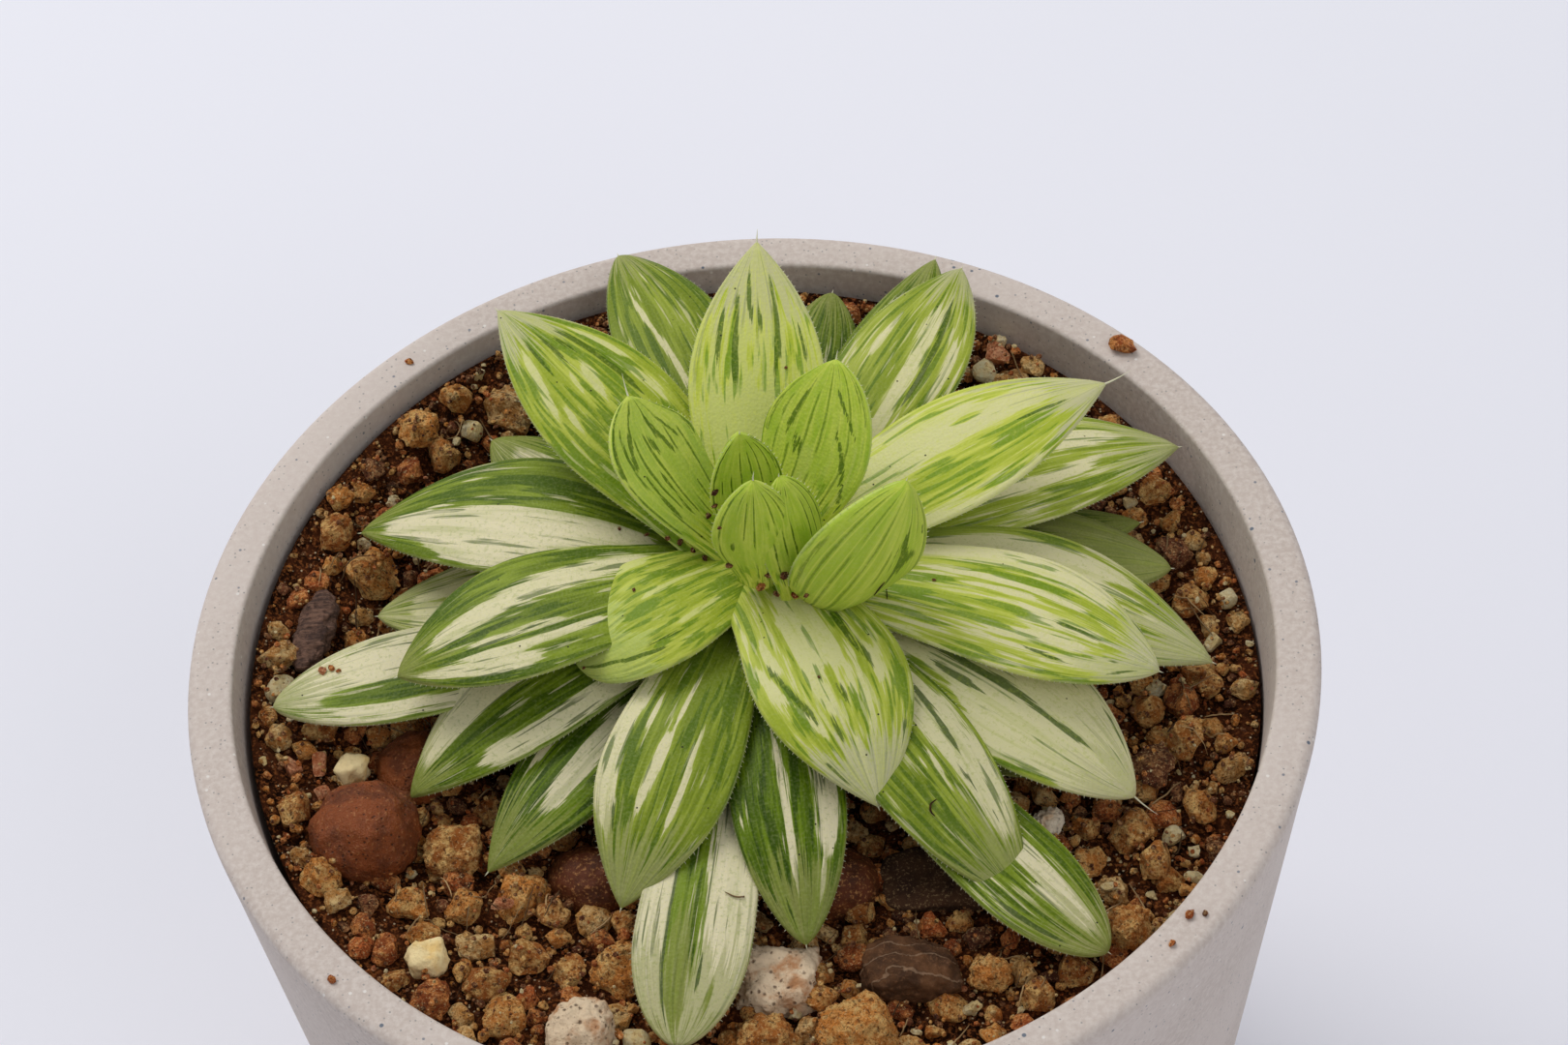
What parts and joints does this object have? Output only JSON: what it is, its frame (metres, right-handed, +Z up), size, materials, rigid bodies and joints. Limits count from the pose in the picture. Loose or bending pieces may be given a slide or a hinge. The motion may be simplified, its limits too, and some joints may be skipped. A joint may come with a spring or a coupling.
{
  "type": "potted haworthia",
  "caption": "Variegated haworthia: a low rosette of fleshy striped leaves on a short rooted stem, in gritty soil with loose stones, in a round tapered speckled pot.",
  "frame": {"origin": "centre of the pot's flat bottom", "axes": "+Z up along the pot's axis; +Y away from the viewer of the picture, +X to their right"},
  "size_m": [0.1098, 0.1098, 0.1158],
  "materials": {
    "pot": "matte",
    "soil": "matte",
    "stem": "matte",
    "leaf_heart": "satin",
    "leaf_middle": "satin",
    "leaf_outer": "satin",
    "leaf_lower": "satin",
    "clay": "matte",
    "dark_stone": "matte",
    "brown_stone": "matte",
    "pumice": "matte",
    "bark": "matte"
  },
  "bodies": {
    "root": {"pot": "pot", "soil": "soil", "stem_and_roots": "stem", "leaf_heart_front": "leaf_heart", "leaf_heart_back": "leaf_heart", "leaf_heart_side": "leaf_heart", "leaf_heart_right_back": "leaf_heart", "leaf_heart_left_back": "leaf_heart", "leaf_heart_right": "leaf_heart", "leaf_middle_back": "leaf_middle", "leaf_middle_left_back": "leaf_middle", "leaf_middle_right_back": "leaf_middle", "leaf_middle_left": "leaf_middle", "leaf_middle_front": "leaf_middle", "leaf_middle_right": "leaf_middle", "leaf_middle_far_left": "leaf_middle", "leaf_outer_front_left": "leaf_outer", "leaf_outer_front_right": "leaf_outer", "leaf_outer_right_low": "leaf_outer", "leaf_outer_right": "leaf_outer", "leaf_outer_left": "leaf_outer", "leaf_outer_back_right": "leaf_outer", "leaf_outer_far_right": "leaf_outer", "leaf_outer_back_left": "leaf_outer", "leaf_lower_left": "leaf_lower", "leaf_lower_front": "leaf_lower", "leaf_lower_right": "leaf_lower", "leaf_lower_front_left": "leaf_lower", "leaf_lower_front_right": "leaf_lower", "leaf_lower_far_left": "leaf_lower", "leaf_lowest_front": "leaf_lower", "leaf_lowest_left": "leaf_lower", "leaf_lowest_back_right": "leaf_lower", "leaf_lowest_back": "leaf_lower", "leaf_lowest_back_left": "leaf_lower", "leaf_lowest_right_back": "leaf_lower", "leaf_lowest_right": "leaf_lower", "clay_ball_large": "clay", "clay_ball_small": "clay", "pebble_dark_left": "clay", "pebble_dark_front": "clay", "slate_chip": "dark_stone", "veined_stone": "dark_stone", "pumice_front": "pumice", "pink_stone": "pumice", "brown_stone_front": "brown_stone", "brown_stone_middle": "brown_stone", "brown_stone_right": "brown_stone", "brown_stone_left": "brown_stone", "brown_stone_edge": "brown_stone", "bark_chip": "bark", "pumice_left": "pumice", "pumice_near_left": "pumice", "perlite_right": "pumice"}
  },
  "joints": []
}
